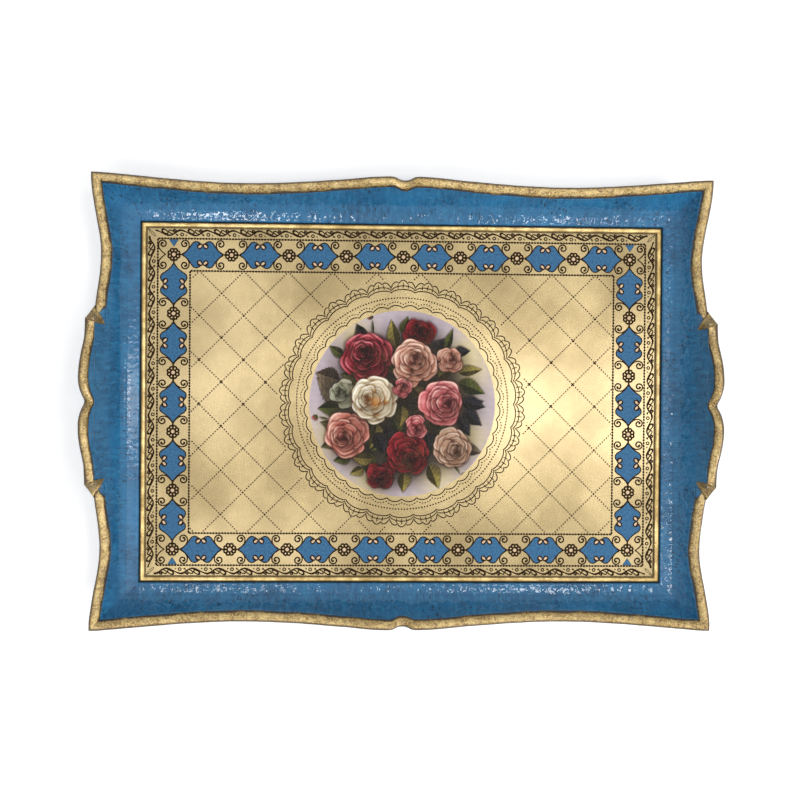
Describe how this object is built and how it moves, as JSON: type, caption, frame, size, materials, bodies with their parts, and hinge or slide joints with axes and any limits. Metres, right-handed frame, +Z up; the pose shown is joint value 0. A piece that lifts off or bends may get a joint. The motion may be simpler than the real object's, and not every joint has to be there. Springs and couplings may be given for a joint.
{
  "type": "serving tray",
  "caption": "Rectangular gilt wooden serving tray with flared coved walls, wavy rim, raised end handles and an ornamented flat panel.",
  "frame": {"origin": "middle of the underside, on the plane the tray stands on", "axes": "+X along the length, from the left handle to the right; +Y across, towards the back rail; +Z up"},
  "size_m": [0.56, 0.4, 0.056],
  "materials": {
    "board_wood": "thin plywood, stained and sealed underneath",
    "gilt_print": "gold-toned sheet printed with dark brown line ornament and blue cartouches, under gloss varnish",
    "rose_print": "lilac-grey paper disc printed with a rose bouquet, under gloss varnish",
    "painted_wood": "blue paint with fine dark speckle under crinkled gloss varnish, rim in antique gilding",
    "gilded_wood": "antique gilding, rubbed to brown at the edges",
    "nail_steel": "plain drawn steel"
  },
  "bodies": {
    "root": {"base_board": "board_wood", "panel_print": "gilt_print", "rose_medallion": "rose_print", "front_rail": "painted_wood", "back_rail": "painted_wood", "left_rail": "painted_wood", "right_rail": "painted_wood", "left_handle_crest": "painted_wood", "right_handle_crest": "painted_wood", "front_bead": "gilded_wood", "back_bead": "gilded_wood", "left_bead": "gilded_wood", "right_bead": "gilded_wood", "corner_v_nails": "nail_steel", "board_pins": "nail_steel"}
  },
  "joints": []
}
